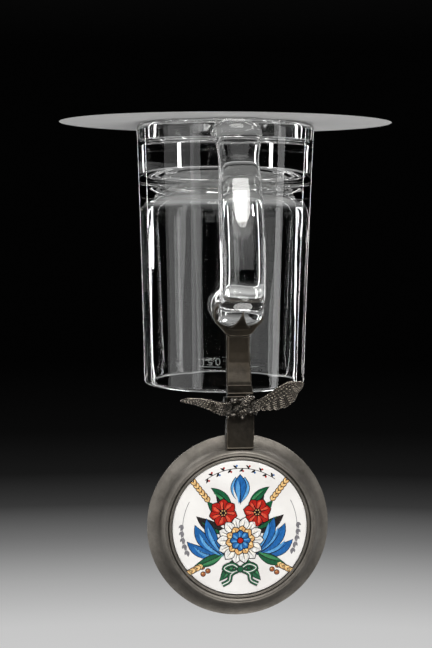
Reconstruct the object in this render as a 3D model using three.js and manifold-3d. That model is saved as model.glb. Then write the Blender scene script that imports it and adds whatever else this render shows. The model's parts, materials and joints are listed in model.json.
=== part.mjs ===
// Half-litre glass stein with a pewter lid: a tapered glass with an applied handle, a collar cast round the handle's
// upper arm, a shank with a three-knuckle hinge, and a lid that carries a porcelain inlay and a spread-winged eagle.
// Millimetres. +Z is up and the handle points to -Y. The lid stands open on its stop. The origin lies on the table
// plane, under the middle of the whole outline.

import * as THREE from "three";
import { mergeVertices } from "three/addons/utils/BufferGeometryUtils.js";
import Module from "manifold-3d";

const wasm = await Module();
wasm.setup();

// Clearances: between pieces that touch, and between a knuckle and what turns past it
const seatGap = 0.3;
const turningGap = 0.4;

// Glass body
const glassHeight = 134;
const footRadius = 45.8;
const rimRadius = 41.9;
const wallCurve = 1.3;
const wall = 3.5;
const floorHeight = 22;
const floorCornerWidth = 24;
const floorCornerHeight = 26;
const floorCornerPower = 2.4;
const recessDepth = 11.3;
const recessCorner = 3.5;
const footWall = 5.6;
const footOuterRound = 3;
const footInnerRound = 1.2;
const bodySegments = 48;

// Applied handle
const handleWidth = 21.4;
const handleFootWidth = 23;
const handleWaist = 19.4;
const waistShare = 0.17;
const handleThickness = 11;
const handleTop = 99.5;
const handleFoot = 1;
const fingerRoom = 21.8;
const gripHeight = 77;
const kneeHeight = 21;
const kneeRoom = 2.5;
const kneeRise = 1.6;
const bendRadius = 13;
const gatherWidth = 24.4;
const gatherHeight = 21.6;
const gatherBulge = 4.4;
const gatherDrop = 3.4;
const padHeight = 12;
const padBulge = 3.6;

// Collar with its shoulders and tongue
const collarInner = 5.2;
const collarLength = 8.5;
const collarWall = 1;
const shoulderRise = 3.4;
const shoulderWidth = 18.6;
const tongueLength = 13;
const tongueWidth = 13;
const tongueThickness = 1.5;
const tonguePoint = 0.9;

// Hinge and shank
const pinOverRim = 3.5;
const hingeReach = 14.1;
const knuckleRadius = 4.8;
const middleKnuckle = 7.3;
const outerKnuckle = 2.2;
const pinRadius = 1.5;
const capThickness = 0.7;
const capStep = 0.4;
const shankFootWidth = 11.3;
const shankFootThickness = 4.4;
const shankThickness = 3;
const shankBow = 0.7;
const ledgeDrop = 3.4;
const ledgeReach = 3.6;

// Lid
const lidOpening = 92;
const lidOverhang = 2.2;
const lipThickness = 1.4;
const crestInset = 1.55;
const crestHeight = 9.2;
const borderWidth = 11.65;
const inlayThickness = 3.8;
const inlayCrown = 0.9;
const bezelWidth = 1.3;
const bedThickness = 1.4;
const seatFloor = 0.8;
const seatFloorHeight = 1.8;
const seatLip = 4.8;
const linerThickness = 1.2;
const linerMargin = 0.8;
const centringFlange = 1.6;
const centringDepth = 2.8;
const mouthClearance = 1.6;
const lidSegments = 56;

// Lid strap
const strapWidth = 13;
const strapOffCrest = 1.9;
const strapThickness = 2;
const padOverhang = 5.5;
const padThickness = 1.7;

// Thumblift
const wingSpan = 58;
const wingChord = 12.6;
const wingThickness = 1.8;
const wingFan = 76;
const thumbliftTwist = 8;
const eagleHeight = 9.5;
const eagleBodyWidth = 9.4;
const eagleBodyDepth = 6.4;
const feathers = 8;
const featherNotch = 0.06;

// Materials
const glassMaterial = new THREE.MeshStandardMaterial({
  color: 0xdfe6e6,
  roughness: 0.04,
  metalness: 0,
  transparent: true,
  opacity: 0.35,
});
const pewter = new THREE.MeshStandardMaterial({ color: 0x77736c, roughness: 0.42, metalness: 0.9 });
const darkPewter = new THREE.MeshStandardMaterial({ color: 0x57504a, roughness: 0.48, metalness: 0.9 });
const steel = new THREE.MeshStandardMaterial({ color: 0x8b8d90, roughness: 0.35, metalness: 1 });
const porcelain = new THREE.MeshStandardMaterial({ color: 0xe9e6e0, roughness: 0.12, metalness: 0 });
const plaster = new THREE.MeshStandardMaterial({ color: 0xd8d3c6, roughness: 0.9, metalness: 0 });

// Radius of the glass's outside at a height: widest at the foot, a shallow curve up to the rim
const wallRadius = (z) =>
  footRadius - (footRadius - rimRadius) * (1 - (1 - THREE.MathUtils.clamp(z / glassHeight, 0, 1)) ** wallCurve);

// What follows from the driving dimensions
const lidRadius = rimRadius + lidOverhang;
const pinReach = lidRadius + hingeReach;
const pinHeight = glassHeight + pinOverRim;
const gripReach = wallRadius(gripHeight) + fingerRoom + handleThickness / 2;
const armHeight = handleTop - handleThickness / 2;
const boreRadius = pinRadius + seatGap;
const knuckleRoom = knuckleRadius + turningGap;
const capRadius = knuckleRadius - capStep;
const webBack = knuckleRadius * 0.8;
const padBottom = knuckleRoom + 0.1;
const ringSpan = middleKnuckle / 2 + seatGap + outerKnuckle;
const shankTopWidth = 2 * ringSpan;
const openAngle = THREE.MathUtils.degToRad(lidOpening);
const inlayRadius = lidRadius - borderWidth;
const bezelOuter = inlayRadius + seatGap + bezelWidth;
const seatRadius = bezelOuter + seatGap;
const crestRadius = seatRadius + crestInset;
const centringRadius = rimRadius - wall - mouthClearance;
const linerRadius = centringRadius + linerMargin;
const seatFloorTop = seatFloorHeight + seatFloor;
const bedBottom = seatFloorTop + seatGap;
const inlayBottom = bedBottom + bedThickness + seatGap;
const inlayEdge = inlayBottom + inlayThickness;

// A closed mesh as a solid, and a solid as a geometry
function solid(geometry) {
  const bare = geometry.index ? geometry.toNonIndexed() : geometry.clone();
  for (const name of Object.keys(bare.attributes)) {
    if (name !== "position") bare.deleteAttribute(name);
  }
  const merged = mergeVertices(bare, 1e-4);
  const corners = merged.index.array;
  const triVerts = [];
  for (let i = 0; i < corners.length; i += 3) {
    const [a, b, c] = corners.subarray(i, i + 3);
    if (a !== b && b !== c && c !== a) triVerts.push(a, b, c);
  }
  return new wasm.Manifold(
    new wasm.Mesh({
      numProp: 3,
      vertProperties: merged.attributes.position.array,
      triVerts: new Uint32Array(triVerts),
    }),
  );
}

function geometryOf(body) {
  const mesh = body.getMesh();
  const geometry = new THREE.BufferGeometry();
  geometry.setAttribute("position", new THREE.BufferAttribute(mesh.vertProperties, 3));
  geometry.setIndex(new THREE.BufferAttribute(mesh.triVerts, 1));
  geometry.computeVertexNormals();
  return geometry;
}

const joined = (solids) => solids.reduce((sum, next) => sum.add(next));

// Skin over a row of rings with the same number of points, closed by a fan at each end
function loft(rings) {
  const count = rings[0].length;
  const middle = (ring) => ring.reduce((sum, p) => sum.add(p), new THREE.Vector3()).divideScalar(count);
  const points = [...rings.flat(), middle(rings[0]), middle(rings[rings.length - 1])];
  const index = [];
  for (let r = 0; r + 1 < rings.length; r++) {
    for (let i = 0; i < count; i++) {
      const a = r * count + i;
      const b = r * count + ((i + 1) % count);
      index.push(a, b, b + count, a, b + count, a + count);
    }
  }
  const last = (rings.length - 1) * count;
  const start = rings.length * count;
  for (let i = 0; i < count; i++) {
    const next = (i + 1) % count;
    index.push(start, next, i, start + 1, last + i, last + next);
  }
  const geometry = new THREE.BufferGeometry().setFromPoints(points);
  geometry.setIndex(index);
  return geometry;
}

// A profile of radius and height, turned about the Z axis
function turned(profile, segments) {
  return new THREE.LatheGeometry(profile, segments).rotateX(Math.PI / 2);
}

// A side outline of y and z, extruded along X and centred on x = 0
function sideExtrusion(outline, width, curveSegments = 8) {
  const geometry = new THREE.ExtrudeGeometry(outline, {
    depth: width,
    bevelEnabled: false,
    curveSegments,
  });
  return geometry.translate(0, 0, -width / 2).applyMatrix4(
    new THREE.Matrix4().makeBasis(
      new THREE.Vector3(0, 1, 0),
      new THREE.Vector3(0, 0, 1),
      new THREE.Vector3(1, 0, 0),
    ),
  );
}

// A cylinder along X
function barAlongX(radius, length, x = 0, segments = 32) {
  return new THREE.CylinderGeometry(radius, radius, length, segments).rotateZ(Math.PI / 2).translate(x, 0, 0);
}

// Points of an arc in a profile, round or drawn out in height, angles in degrees
function arc(x, y, radius, from, to, steps) {
  return Array.from({ length: steps + 1 }, (_, i) => {
    const angle = THREE.MathUtils.degToRad(from + ((to - from) * i) / steps);
    return new THREE.Vector2(x + radius * Math.cos(angle), y + radius * Math.sin(angle));
  });
}

// The corner from the inner wall down to the floor, which runs into both without a break
function floorCorner(x, y, steps) {
  return Array.from({ length: steps + 1 }, (_, i) => {
    const angle = (Math.PI / 2) * (i / steps);
    const inward = Math.cos(angle) ** (2 / floorCornerPower);
    const down = Math.sin(angle) ** (2 / floorCornerPower);
    return new THREE.Vector2(x + floorCornerWidth * inward, y - floorCornerHeight * down);
  });
}

// Glass body: recess under the base, foot ring, outer wall, rounded rim, inner wall and drinking floor
function glassBody() {
  const recessRadius = footRadius - footWall;
  const rimRound = wall / 2;
  const wallSteps = 5;
  const profile = [
    new THREE.Vector2(0, recessDepth),
    ...arc(recessRadius - recessCorner, recessDepth - recessCorner, recessCorner, 90, 0, 3),
    ...arc(recessRadius + footInnerRound, footInnerRound, footInnerRound, 180, 270, 2),
    ...arc(wallRadius(0) - footOuterRound, footOuterRound, footOuterRound, 270, 355, 4),
  ];
  for (let i = 1; i < wallSteps; i++) {
    const z = footOuterRound + ((glassHeight - rimRound - footOuterRound) * i) / wallSteps;
    profile.push(new THREE.Vector2(wallRadius(z), z));
  }
  profile.push(...arc(rimRadius - rimRound, glassHeight - rimRound, rimRound, 0, 180, 6));
  const cornerTop = floorHeight + floorCornerHeight;
  for (let i = wallSteps - 1; i > 0; i--) {
    const z = cornerTop + ((glassHeight - rimRound - cornerTop) * i) / wallSteps;
    profile.push(new THREE.Vector2(wallRadius(z) - wall, z));
  }
  const cornerReach = wallRadius(cornerTop) - wall - floorCornerWidth;
  profile.push(...floorCorner(cornerReach, cornerTop, 8));
  profile.push(new THREE.Vector2(0, floorHeight));
  return solid(turned(profile, bodySegments));
}

// Centre line of the handle in the plane x = 0: out of the foot, round the knee, up to the grip and back to the wall
const handleFootCentre = handleFoot + handleThickness / 2;
const handleLine = new THREE.CatmullRomCurve3(
  [
    [wallRadius(handleFootCentre) - wall * 0.8, handleFootCentre],
    [wallRadius(handleFootCentre) + kneeRoom * 1.8, handleFootCentre + kneeRise],
    [wallRadius(kneeHeight) + kneeRoom + handleThickness / 2, kneeHeight],
    [gripReach - fingerRoom * 0.42, (kneeHeight * 2 + gripHeight) / 3],
    [gripReach - fingerRoom * 0.11, (kneeHeight + gripHeight * 2) / 3],
    [gripReach, gripHeight],
    [gripReach - bendRadius * 0.3, gripHeight + (armHeight - gripHeight) * 0.72],
    [gripReach - bendRadius, armHeight],
    [wallRadius(armHeight) + 6, armHeight - 0.6],
    [wallRadius(armHeight) - wall * 0.6, armHeight - 2.6],
  ].map(([reach, z]) => new THREE.Vector3(0, -reach, z)),
  false,
  "centripetal",
);

// Frame on the handle's line: sideways is X, out is the normal that points away from the finger room
function handleFrame(u) {
  const along = handleLine.getTangentAt(u);
  return {
    centre: handleLine.getPointAt(u),
    sideways: new THREE.Vector3(1, 0, 0),
    out: new THREE.Vector3(0, -along.z, along.y),
  };
}

// Width of the handle along its line: spread where it was pressed on, drawn in at the knee, full at the grip
function handleWidthAt(u) {
  const intoWaist = THREE.MathUtils.smoothstep(u, waistShare / 3, waistShare);
  const outOfWaist = THREE.MathUtils.smoothstep(u, waistShare, waistShare * 2);
  return handleFootWidth + (handleWaist - handleFootWidth) * intoWaist + (handleWidth - handleWaist) * outOfWaist;
}

// Height of the handle's section over its centre line, at a distance to the side
const sectionPower = 2.6;
const sectionHeight = (x, halfWidth, halfThickness) =>
  halfThickness * Math.max(0, 1 - Math.abs(x / halfWidth) ** sectionPower) ** (1 / sectionPower);

function sectionPoint(frame, x, height) {
  return frame.centre.clone().addScaledVector(frame.sideways, x).addScaledVector(frame.out, height);
}

// One closed section of the handle, grown by a clearance
function handleRing(u, grow) {
  const points = 18;
  const frame = handleFrame(u);
  const halfWidth = handleWidthAt(u) / 2 + grow;
  const halfThickness = handleThickness / 2 + grow;
  return Array.from({ length: points }, (_, i) => {
    const angle = (2 * Math.PI * i) / points;
    const x = halfWidth * Math.sign(Math.cos(angle)) * Math.abs(Math.cos(angle)) ** (2 / sectionPower);
    const height = halfThickness * Math.sign(Math.sin(angle)) * Math.abs(Math.sin(angle)) ** (2 / sectionPower);
    return sectionPoint(frame, x, height);
  });
}

function handleSolid(grow) {
  const steps = 28;
  const rings = Array.from({ length: steps + 1 }, (_, i) => handleRing(i / steps, grow));
  return solid(loft(rings.reverse()));
}

// A flattened lump of glass that wraps the wall where the handle is fused on
function lumpOnWall(width, low, high, bulge) {
  const geometry = new THREE.SphereGeometry(1, 14, 8);
  const position = geometry.attributes.position;
  const middle = (low + high) / 2;
  const half = (high - low) / 2;
  for (let i = 0; i < position.count; i++) {
    const z = middle + position.getZ(i) * half;
    const seat = wallRadius(z) - wall / 2;
    const reach = seat + position.getY(i) * (position.getY(i) > 0 ? bulge + wall / 2 : wall / 4);
    const angle = (position.getX(i) * width) / 2 / seat;
    position.setXYZ(i, -reach * Math.sin(angle), -reach * Math.cos(angle), z);
  }
  return solid(geometry);
}

function glassMug() {
  const gatherMiddle = armHeight - gatherDrop;
  const gather = lumpOnWall(
    gatherWidth,
    gatherMiddle - gatherHeight / 2,
    gatherMiddle + gatherHeight / 2,
    gatherBulge,
  );
  const pad = lumpOnWall(handleFootWidth, handleFoot, handleFoot + padHeight, padBulge);
  return joined([glassBody(), handleSolid(0), gather, pad]);
}

// Where on the handle's line a reach from the mug's axis is met, seen from the upper end
function lineAtReach(reach) {
  let low = 0.62;
  let high = 1;
  for (let i = 0; i < 30; i++) {
    const middle = (low + high) / 2;
    if (-handleLine.getPointAt(middle).y > reach) low = middle;
    else high = middle;
  }
  return (low + high) / 2;
}

const collarEnd = lineAtReach(wallRadius(armHeight) + collarInner);
const collarStart = lineAtReach(wallRadius(armHeight) + collarInner + collarLength);
const collarMiddle = handleFrame((collarStart + collarEnd) / 2);
const collarTop = handleThickness / 2 + seatGap + collarWall + shoulderRise;

// Collar outline: the handle's section grown by the wall, with two sloping shoulders up to the shank's foot
function collarRing(u, rise, grow) {
  const frame = handleFrame(u);
  const halfWidth = handleWidth / 2 + seatGap + collarWall + grow;
  const halfThickness = handleThickness / 2 + seatGap + collarWall + grow;
  const points = 28;
  return Array.from({ length: points }, (_, i) => {
    const angle = (2 * Math.PI * i) / points;
    const x = halfWidth * Math.sign(Math.cos(angle)) * Math.abs(Math.cos(angle)) ** (2 / sectionPower);
    const side = Math.sin(angle) < 0 ? -1 : 1;
    let height = side * sectionHeight(x, halfWidth, halfThickness);
    if (side > 0 && Math.abs(x) < shoulderWidth / 2) {
      const slope = shoulderWidth / 2 - Math.max(Math.abs(x), shankFootWidth / 2);
      height += (rise * slope) / (shoulderWidth / 2 - shankFootWidth / 2);
    }
    return sectionPoint(frame, x, height);
  });
}

// Tongue: follows the handle's outer face from the collar over the bend, narrowing to its point
function tongueRing(u, width, thickness) {
  const frame = handleFrame(u);
  const across = 4;
  const half = width / 2;
  const surface = (x, lift) =>
    sectionPoint(frame, x, sectionHeight(x, handleWidth / 2, handleThickness / 2) + lift);
  const under = [];
  const over = [];
  for (let i = 0; i <= across; i++) {
    const x = -half + (width * i) / across;
    under.push(surface(x, seatGap));
    over.push(surface(-x, thickness));
  }
  return [...under, ...over];
}

function collarBand(grow = 0) {
  const rises = [0.45, 0.85, 1, 1, 1, 1];
  const rings = rises.map((share, i) =>
    collarRing(collarEnd + ((collarStart - collarEnd) * i) / (rises.length - 1), shoulderRise * share, grow),
  );
  return solid(loft(rings));
}

function handleCollar() {
  const lineLength = handleLine.getLength();
  const root = collarStart + 2 / lineLength;
  const tip = collarStart - tongueLength / lineLength;
  const steps = 10;
  const tongue = Array.from({ length: steps + 1 }, (_, i) => {
    const share = i / steps;
    const width = Math.max(tongueWidth * (1 - share), 0.5);
    const thickness = tongueThickness + (tonguePoint - tongueThickness) * share;
    return tongueRing(root + (tip - root) * share, width, thickness);
  });
  return joined([collarBand(), solid(loft(tongue))]).subtract(handleSolid(seatGap));
}

// Shank, in offsets from the pin: out is away from the mug, up is up
const pinPoint = new THREE.Vector3(0, -pinReach, pinHeight);
const shankPoint = (x, out, up) => new THREE.Vector3(x, pinPoint.y - out, pinPoint.z + up);

function shankRing(out, up, width, thickness) {
  const round = thickness * 0.22;
  const corners = [
    [width / 2, thickness / 2 - round],
    [width / 2 - round, thickness / 2],
    [-width / 2 + round, thickness / 2],
    [-width / 2, thickness / 2 - round],
    [-width / 2, -thickness / 2 + round],
    [-width / 2 + round, -thickness / 2],
    [width / 2 - round, -thickness / 2],
    [width / 2, -thickness / 2 + round],
  ];
  return corners.map(([x, front]) => shankPoint(x, out + front, up));
}

// A point of the open lid, given as it lies with the lid closed, in offsets from the pin
function whenOpen(y, z) {
  return new THREE.Vector2(
    y * Math.cos(openAngle) - z * Math.sin(openAngle),
    y * Math.sin(openAngle) + z * Math.cos(openAngle),
  );
}

function hingeShank() {
  const footTop = collarMiddle.centre.z + collarTop - pinHeight;
  const footOut = wallRadius(armHeight) + collarInner + collarLength - shankFootThickness / 2 - pinReach;
  const line = new THREE.SplineCurve([
    new THREE.Vector2(footOut, footTop - 2 * collarWall),
    new THREE.Vector2(footOut, footTop + 1.5),
    new THREE.Vector2(footOut * 0.6, footTop * 0.62),
    new THREE.Vector2(shankBow, -knuckleRadius * 2),
    new THREE.Vector2(0, -knuckleRadius * 0.5),
  ]);
  const steps = 10;
  const strap = Array.from({ length: steps + 1 }, (_, i) => {
    const share = i / steps;
    const { x: out, y: up } = line.getPoint(share);
    const spread = THREE.MathUtils.smoothstep(share, 0.3, 0.8);
    const thinned = THREE.MathUtils.smoothstep(share, 0.2, 0.6);
    return shankRing(
      out,
      up,
      shankFootWidth + (shankTopWidth - shankFootWidth) * spread,
      shankFootThickness + (shankThickness - shankFootThickness) * thinned,
    );
  });
  const stopInner = whenOpen(-padOverhang - seatGap, knuckleRadius);
  const stopOuter = whenOpen(-padOverhang - seatGap, knuckleRoom + padThickness);
  const ledge = new THREE.Shape([
    new THREE.Vector2(-1, stopOuter.y - ledgeDrop * 1.15),
    new THREE.Vector2(stopOuter.x + ledgeReach, stopOuter.y - ledgeDrop),
    new THREE.Vector2(stopOuter.x, stopOuter.y - 0.9),
    stopOuter,
    stopInner,
    whenOpen(-webBack - turningGap, 0),
  ]);
  const ledgeSolid = solid(
    sideExtrusion(ledge, shankTopWidth).translate(0, pinPoint.y, pinPoint.z),
  );
  const at = (geometry) => solid(geometry.translate(0, pinPoint.y, pinPoint.z));
  const rings = [-1, 1].map((side) =>
    at(barAlongX(knuckleRadius, outerKnuckle, side * (ringSpan - outerKnuckle / 2))),
  );
  const middleRoom = at(barAlongX(knuckleRoom, middleKnuckle + 2 * seatGap));
  const bore = at(barAlongX(boreRadius, ringSpan * 2 + 1, 0, 20));
  return joined([solid(loft(strap.reverse())), ledgeSolid, ...rings])
    .subtract(middleRoom)
    .subtract(bore)
    .subtract(collarBand(seatGap));
}

// Outer face of the lid ring from its lip over the flange and the roll to the bezel, grown by a clearance
function lidFace(grow = 0) {
  const roll = lidRadius - crestRadius;
  const spline = new THREE.SplineCurve([
    new THREE.Vector2(lidRadius, lipThickness),
    new THREE.Vector2(lidRadius - roll * 0.15, lipThickness + 0.7),
    new THREE.Vector2(crestRadius + roll * 0.6, crestHeight * 0.39),
    new THREE.Vector2(crestRadius + roll * 0.38, crestHeight * 0.6),
    new THREE.Vector2(crestRadius + roll * 0.19, crestHeight * 0.86),
    new THREE.Vector2(crestRadius, crestHeight),
    new THREE.Vector2(seatRadius + crestInset * 0.26, crestHeight - 0.35),
    new THREE.Vector2(seatRadius, crestHeight - 0.8),
  ]);
  return spline.getPoints(11).map((p) => p.add(new THREE.Vector2(grow, grow)));
}

// Lid pieces, in heights over the rim plane, about the lid's own axis
function lidRing() {
  const edge = 0.4;
  const inner = linerRadius + seatGap;
  return turned(
    [
      new THREE.Vector2(inner, 0),
      new THREE.Vector2(lidRadius - edge, 0),
      new THREE.Vector2(lidRadius, edge),
      ...lidFace(),
      new THREE.Vector2(seatRadius, seatFloorTop),
      new THREE.Vector2(seatRadius - seatLip, seatFloorTop),
      new THREE.Vector2(seatRadius - seatLip, seatFloorHeight),
      new THREE.Vector2(inner, seatFloorHeight),
      new THREE.Vector2(inner, 0),
    ],
    lidSegments,
  );
}

function inlayBezel() {
  const inner = inlayRadius + seatGap;
  const round = bezelWidth / 2;
  return turned(
    [
      new THREE.Vector2(inner, bedBottom),
      new THREE.Vector2(bezelOuter, bedBottom),
      ...arc(inner + round, inlayEdge, round, 0, 180, 4),
      new THREE.Vector2(inner, bedBottom),
    ],
    lidSegments,
  );
}

function porcelainInlay() {
  const edge = 0.5;
  const rings = 4;
  const profile = [
    new THREE.Vector2(0, inlayBottom),
    new THREE.Vector2(inlayRadius - edge, inlayBottom),
    new THREE.Vector2(inlayRadius, inlayBottom + edge),
    new THREE.Vector2(inlayRadius, inlayEdge - edge),
  ];
  for (let i = 0; i <= rings; i++) {
    const radius = (inlayRadius - edge) * (1 - i / rings);
    const crown = inlayCrown * (1 - (radius / inlayRadius) ** 2);
    profile.push(new THREE.Vector2(radius, inlayEdge + crown));
  }
  return turned(profile, lidSegments);
}

function inlayBed() {
  const radius = inlayRadius - 0.4;
  return turned(
    [
      new THREE.Vector2(0, bedBottom),
      new THREE.Vector2(radius, bedBottom),
      new THREE.Vector2(radius, bedBottom + bedThickness),
      new THREE.Vector2(0, bedBottom + bedThickness),
    ],
    lidSegments,
  );
}

function lidLiner() {
  const top = seatFloorHeight - seatGap;
  const bottom = top - linerThickness;
  return turned(
    [
      new THREE.Vector2(0, bottom),
      new THREE.Vector2(centringRadius - centringFlange, bottom),
      new THREE.Vector2(centringRadius - centringFlange, -centringDepth),
      new THREE.Vector2(centringRadius - 0.5, -centringDepth),
      new THREE.Vector2(centringRadius, -centringDepth + 0.5),
      new THREE.Vector2(centringRadius, bottom),
      new THREE.Vector2(linerRadius, bottom),
      new THREE.Vector2(linerRadius, top),
      new THREE.Vector2(0, top),
    ],
    lidSegments,
  );
}

// Lid plane against the pin, with the lid closed on the rim
const lidPlane = seatGap - pinOverRim;

// Lid strap, closed, about the pin: y runs towards the lid. Pad over the hinge, strap, middle knuckle and web
function lidStrap() {
  const end = pinReach - crestRadius - strapOffCrest;
  const padTop = padBottom + padThickness;
  const faceAtEnd = lidPlane + crestHeight * 0.8;
  const side = new THREE.Shape([
    new THREE.Vector2(-padOverhang, padBottom),
    new THREE.Vector2(knuckleRoom, padBottom),
    new THREE.Vector2(knuckleRoom + 0.3, padBottom * 0.5),
    new THREE.Vector2(hingeReach - 5, lidPlane + lipThickness + 1.6),
    new THREE.Vector2(hingeReach - 0.4, lidPlane + lipThickness),
    new THREE.Vector2(end, lidPlane + lipThickness),
    new THREE.Vector2(end, faceAtEnd + strapThickness * 0.7),
    new THREE.Vector2(end - 0.7, faceAtEnd + strapThickness),
    new THREE.Vector2(knuckleRoom + 2.5, padTop),
    new THREE.Vector2(-padOverhang + 0.5, padTop),
    new THREE.Vector2(-padOverhang, padTop - 0.5),
  ]);
  const web = new THREE.Shape([
    new THREE.Vector2(-webBack, 0),
    new THREE.Vector2(knuckleRadius, 0),
    new THREE.Vector2(knuckleRoom + 1, padBottom + 0.4),
    new THREE.Vector2(-webBack, padBottom + 0.4),
  ]);
  const outerRooms = [-1, 1].map((sign) =>
    solid(barAlongX(knuckleRoom, strapWidth, sign * (middleKnuckle / 2 + strapWidth / 2))),
  );
  const lidBody = turned(
    [
      new THREE.Vector2(0, -1),
      new THREE.Vector2(lidRadius + seatGap, -1),
      ...lidFace(seatGap),
      new THREE.Vector2(0, crestHeight + seatGap),
    ],
    lidSegments,
  );
  let body = solid(sideExtrusion(side, strapWidth));
  outerRooms.forEach((room) => {
    body = body.subtract(room);
  });
  body = joined([body, solid(sideExtrusion(web, middleKnuckle)), solid(barAlongX(knuckleRadius, middleKnuckle))]);
  body = body.subtract(solid(barAlongX(boreRadius, middleKnuckle + 1, 0, 20)));
  return body.subtract(solid(lidBody.translate(0, pinReach, lidPlane)));
}

// Thumblift, closed, about the pin
const eagleSeat = padBottom + padThickness + seatGap;

// Each wing's shoulder, how far its leading edge swings out, its pitch from shoulder to tip, its chords along the span
const slimWing = {
  root: -3,
  lead: -8.6,
  pitch: [58, 24],
  chords: [0.5, 0.62, 0.74, 0.74, 0.68, 0.6, 0.5, 0.42, 0.34],
};
const broadWing = {
  root: -1.4,
  lead: -9.6,
  pitch: [68, 68],
  chords: [0.42, 0.45, 0.5, 0.66, 0.83, 0.96, 1, 0.72, 0.5],
};

// Wing: sections hung from the leading edge, fanned outwards to the tip, one lobe for each flight feather
function wing(side, { root, lead, pitch, chords }) {
  const half = wingSpan / 2;
  const leading = new THREE.CatmullRomCurve3([
    new THREE.Vector3(0.08 * half, root, eagleSeat + 4.6),
    new THREE.Vector3(0.34 * half, root * 0.5 - 3.2, eagleSeat + 6.9),
    new THREE.Vector3(0.58 * half, -7.4, eagleSeat + 8),
    new THREE.Vector3(0.78 * half, lead, eagleSeat + 8),
    new THREE.Vector3(half, -9.2, eagleSeat + 7.2),
  ]);
  const lengths = new THREE.SplineCurve(chords.map((chord, i) => new THREE.Vector2(i, chord)));
  const ringsPerFeather = 4;
  const count = feathers * ringsPerFeather;
  const rings = Array.from({ length: count + 1 }, (_, i) => {
    const share = i / count;
    const edge = leading.getPoint(0.83 * share);
    const turn = THREE.MathUtils.degToRad(THREE.MathUtils.lerp(pitch[0], pitch[1], share));
    const chordWay = new THREE.Vector3(0, Math.sin(turn), -Math.cos(turn));
    const thickWay = new THREE.Vector3(0, Math.cos(turn), Math.sin(turn));
    const fan = THREE.MathUtils.degToRad(wingFan * share ** 5);
    const way = chordWay.clone().multiplyScalar(Math.cos(fan)).add(new THREE.Vector3(Math.sin(fan), 0, 0));
    const lobe = Math.sin((Math.PI * (i % ringsPerFeather)) / ringsPerFeather);
    const notch = 1 - featherNotch * (1 - lobe);
    const length = wingChord * lengths.getPoint(share).y * notch;
    const thick = wingThickness * (1 - 0.45 * share);
    const covert = 0.4 + 0.06 * lobe;
    const quill = 0.16 + 0.22 * lobe;
    const section = [
      [0, 0.3],
      [0.1, 0.58],
      [covert - 0.04, 0.55],
      [covert, quill],
      [0.8, quill * 0.85],
      [1, 0.08],
      [1, -0.08],
      [0.75, -0.3],
      [0.35, -0.5],
      [0.08, -0.5],
    ];
    return section.map(([along, up]) =>
      edge.clone().addScaledVector(way, along * length).addScaledVector(thickWay, up * thick),
    );
  });
  const whole = solid(loft(rings.reverse()));
  return side > 0 ? whole : whole.mirror([1, 0, 0]);
}

function ellipsoid(x, y, z, rx, ry, rz, turnX = 0) {
  const geometry = new THREE.SphereGeometry(1, 12, 8).rotateX(Math.PI / 2);
  return solid(geometry.scale(rx, ry, rz).rotateX(turnX).translate(x, y, z));
}

// Body, neck and turned head with its beak, two feet on the pad, tail down the strap, and the two wings
function thumbliftEagle() {
  const width = eagleBodyWidth / 2;
  const depth = eagleBodyDepth / 2;
  const headZ = eagleSeat + eagleHeight - 2.2;
  const beak = new THREE.ConeGeometry(0.95, 2.8, 8).rotateZ(Math.PI / 2 + 0.35);
  const parts = [
    ellipsoid(0, -0.3, eagleSeat + eagleHeight * 0.42, width, depth, eagleHeight * 0.46),
    ellipsoid(-1.4, -2.7, eagleSeat + eagleHeight * 0.66, 2.5, 2.4, 3),
    ellipsoid(-2.9, -4.4, headZ, 2.3, 1.9, 1.8),
    solid(beak.translate(-5.6, -4.5, headZ - 0.6)),
    ellipsoid(-4, 1.6, eagleSeat + 1.2, 4, 2.8, 2),
    ellipsoid(4, 1.6, eagleSeat + 1.2, 4, 2.8, 2),
    ellipsoid(0, 3.6, eagleSeat + 1.3, 1.6, 2.6, 1, -0.28),
    ellipsoid(0, -1, eagleSeat + 0.9, 5.6, 3.6, 2),
    wing(1, slimWing),
    wing(-1, broadWing),
  ];
  const seat = solid(new THREE.BoxGeometry(60, 60, 20).translate(0, 0, eagleSeat - 10));
  const reach = solid(new THREE.BoxGeometry(strapWidth + 4, 20, 40).translate(0, 0, eagleSeat - 20));
  return joined(parts)
    .rotate([0, 0, thumbliftTwist])
    .subtract(seat.intersect(reach));
}

// Assembly
function named(name, geometry, material, y = 0, z = 0) {
  const mesh = new THREE.Mesh(geometry, material);
  mesh.name = name;
  mesh.position.set(0, y, z);
  return mesh;
}

const mug = new THREE.Group();
mug.add(
  named("glass_mug", geometryOf(glassMug()), glassMaterial),
  named("handle_collar", geometryOf(handleCollar()), darkPewter),
  named("hinge_shank", geometryOf(hingeShank()), darkPewter),
  named("hinge_pin", barAlongX(pinRadius, ringSpan * 2, 0, 20), steel, -pinReach, pinHeight),
);
for (const [name, side] of [
  ["pin_cap_left", -1],
  ["pin_cap_right", 1],
]) {
  const x = side * (ringSpan + seatGap + capThickness / 2);
  mug.add(named(name, barAlongX(capRadius, capThickness, x, 24), darkPewter, -pinReach, pinHeight));
}

const lidTurned = (geometry) => geometryOf(solid(geometry));
const lid = new THREE.Group();
lid.add(
  named("lid_strap", geometryOf(lidStrap()), darkPewter),
  named("thumblift_eagle", geometryOf(thumbliftEagle()), darkPewter),
  named("lid_ring", lidTurned(lidRing()), pewter, pinReach, lidPlane),
  named("inlay_bezel", lidTurned(inlayBezel()), pewter, pinReach, lidPlane),
  named("porcelain_inlay", lidTurned(porcelainInlay()), porcelain, pinReach, lidPlane),
  named("inlay_bed", lidTurned(inlayBed()), plaster, pinReach, lidPlane),
  named("lid_liner", lidTurned(lidLiner()), pewter, pinReach, lidPlane),
);
lid.position.set(0, -pinReach, pinHeight);
lid.rotation.x = openAngle;

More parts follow.
